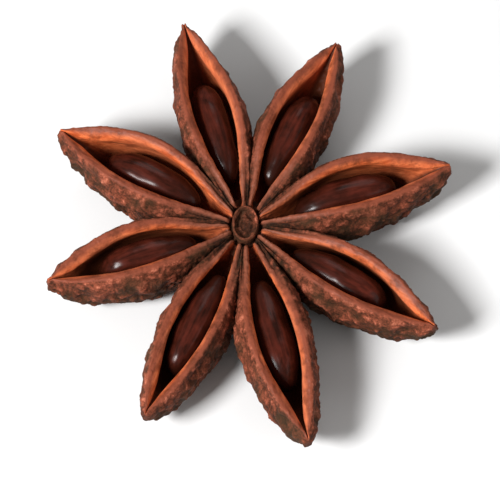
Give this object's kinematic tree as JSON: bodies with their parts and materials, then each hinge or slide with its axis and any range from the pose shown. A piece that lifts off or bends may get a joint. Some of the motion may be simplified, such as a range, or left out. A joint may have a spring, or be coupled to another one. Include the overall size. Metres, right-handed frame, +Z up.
{
  "type": "star anise pod",
  "caption": "Dried star anise pod lying open side up: boat-shaped follicles round a short column, each split along its top with a glossy seed inside.",
  "frame": {"origin": "centre of the pod's box on the surface it lies on; the column's middle is at x -0.41 mm, y +0.78 mm", "axes": "+Z up out of the open side; +Y along the pod's longer width, -Y towards the longest follicle and the viewer; +X to the viewer's right"},
  "size_m": [0.0346, 0.0393, 0.0073],
  "materials": {
    "husk": "rough dry skin outside, smooth orange-brown lining and lips",
    "seed": "glossy, dark reddish brown"
  },
  "bodies": {
    "root": {"pod": "husk", "seed_1": "seed", "seed_2": "seed", "seed_3": "seed", "seed_4": "seed", "seed_5": "seed", "seed_6": "seed", "seed_7": "seed", "seed_8": "seed"}
  },
  "joints": []
}
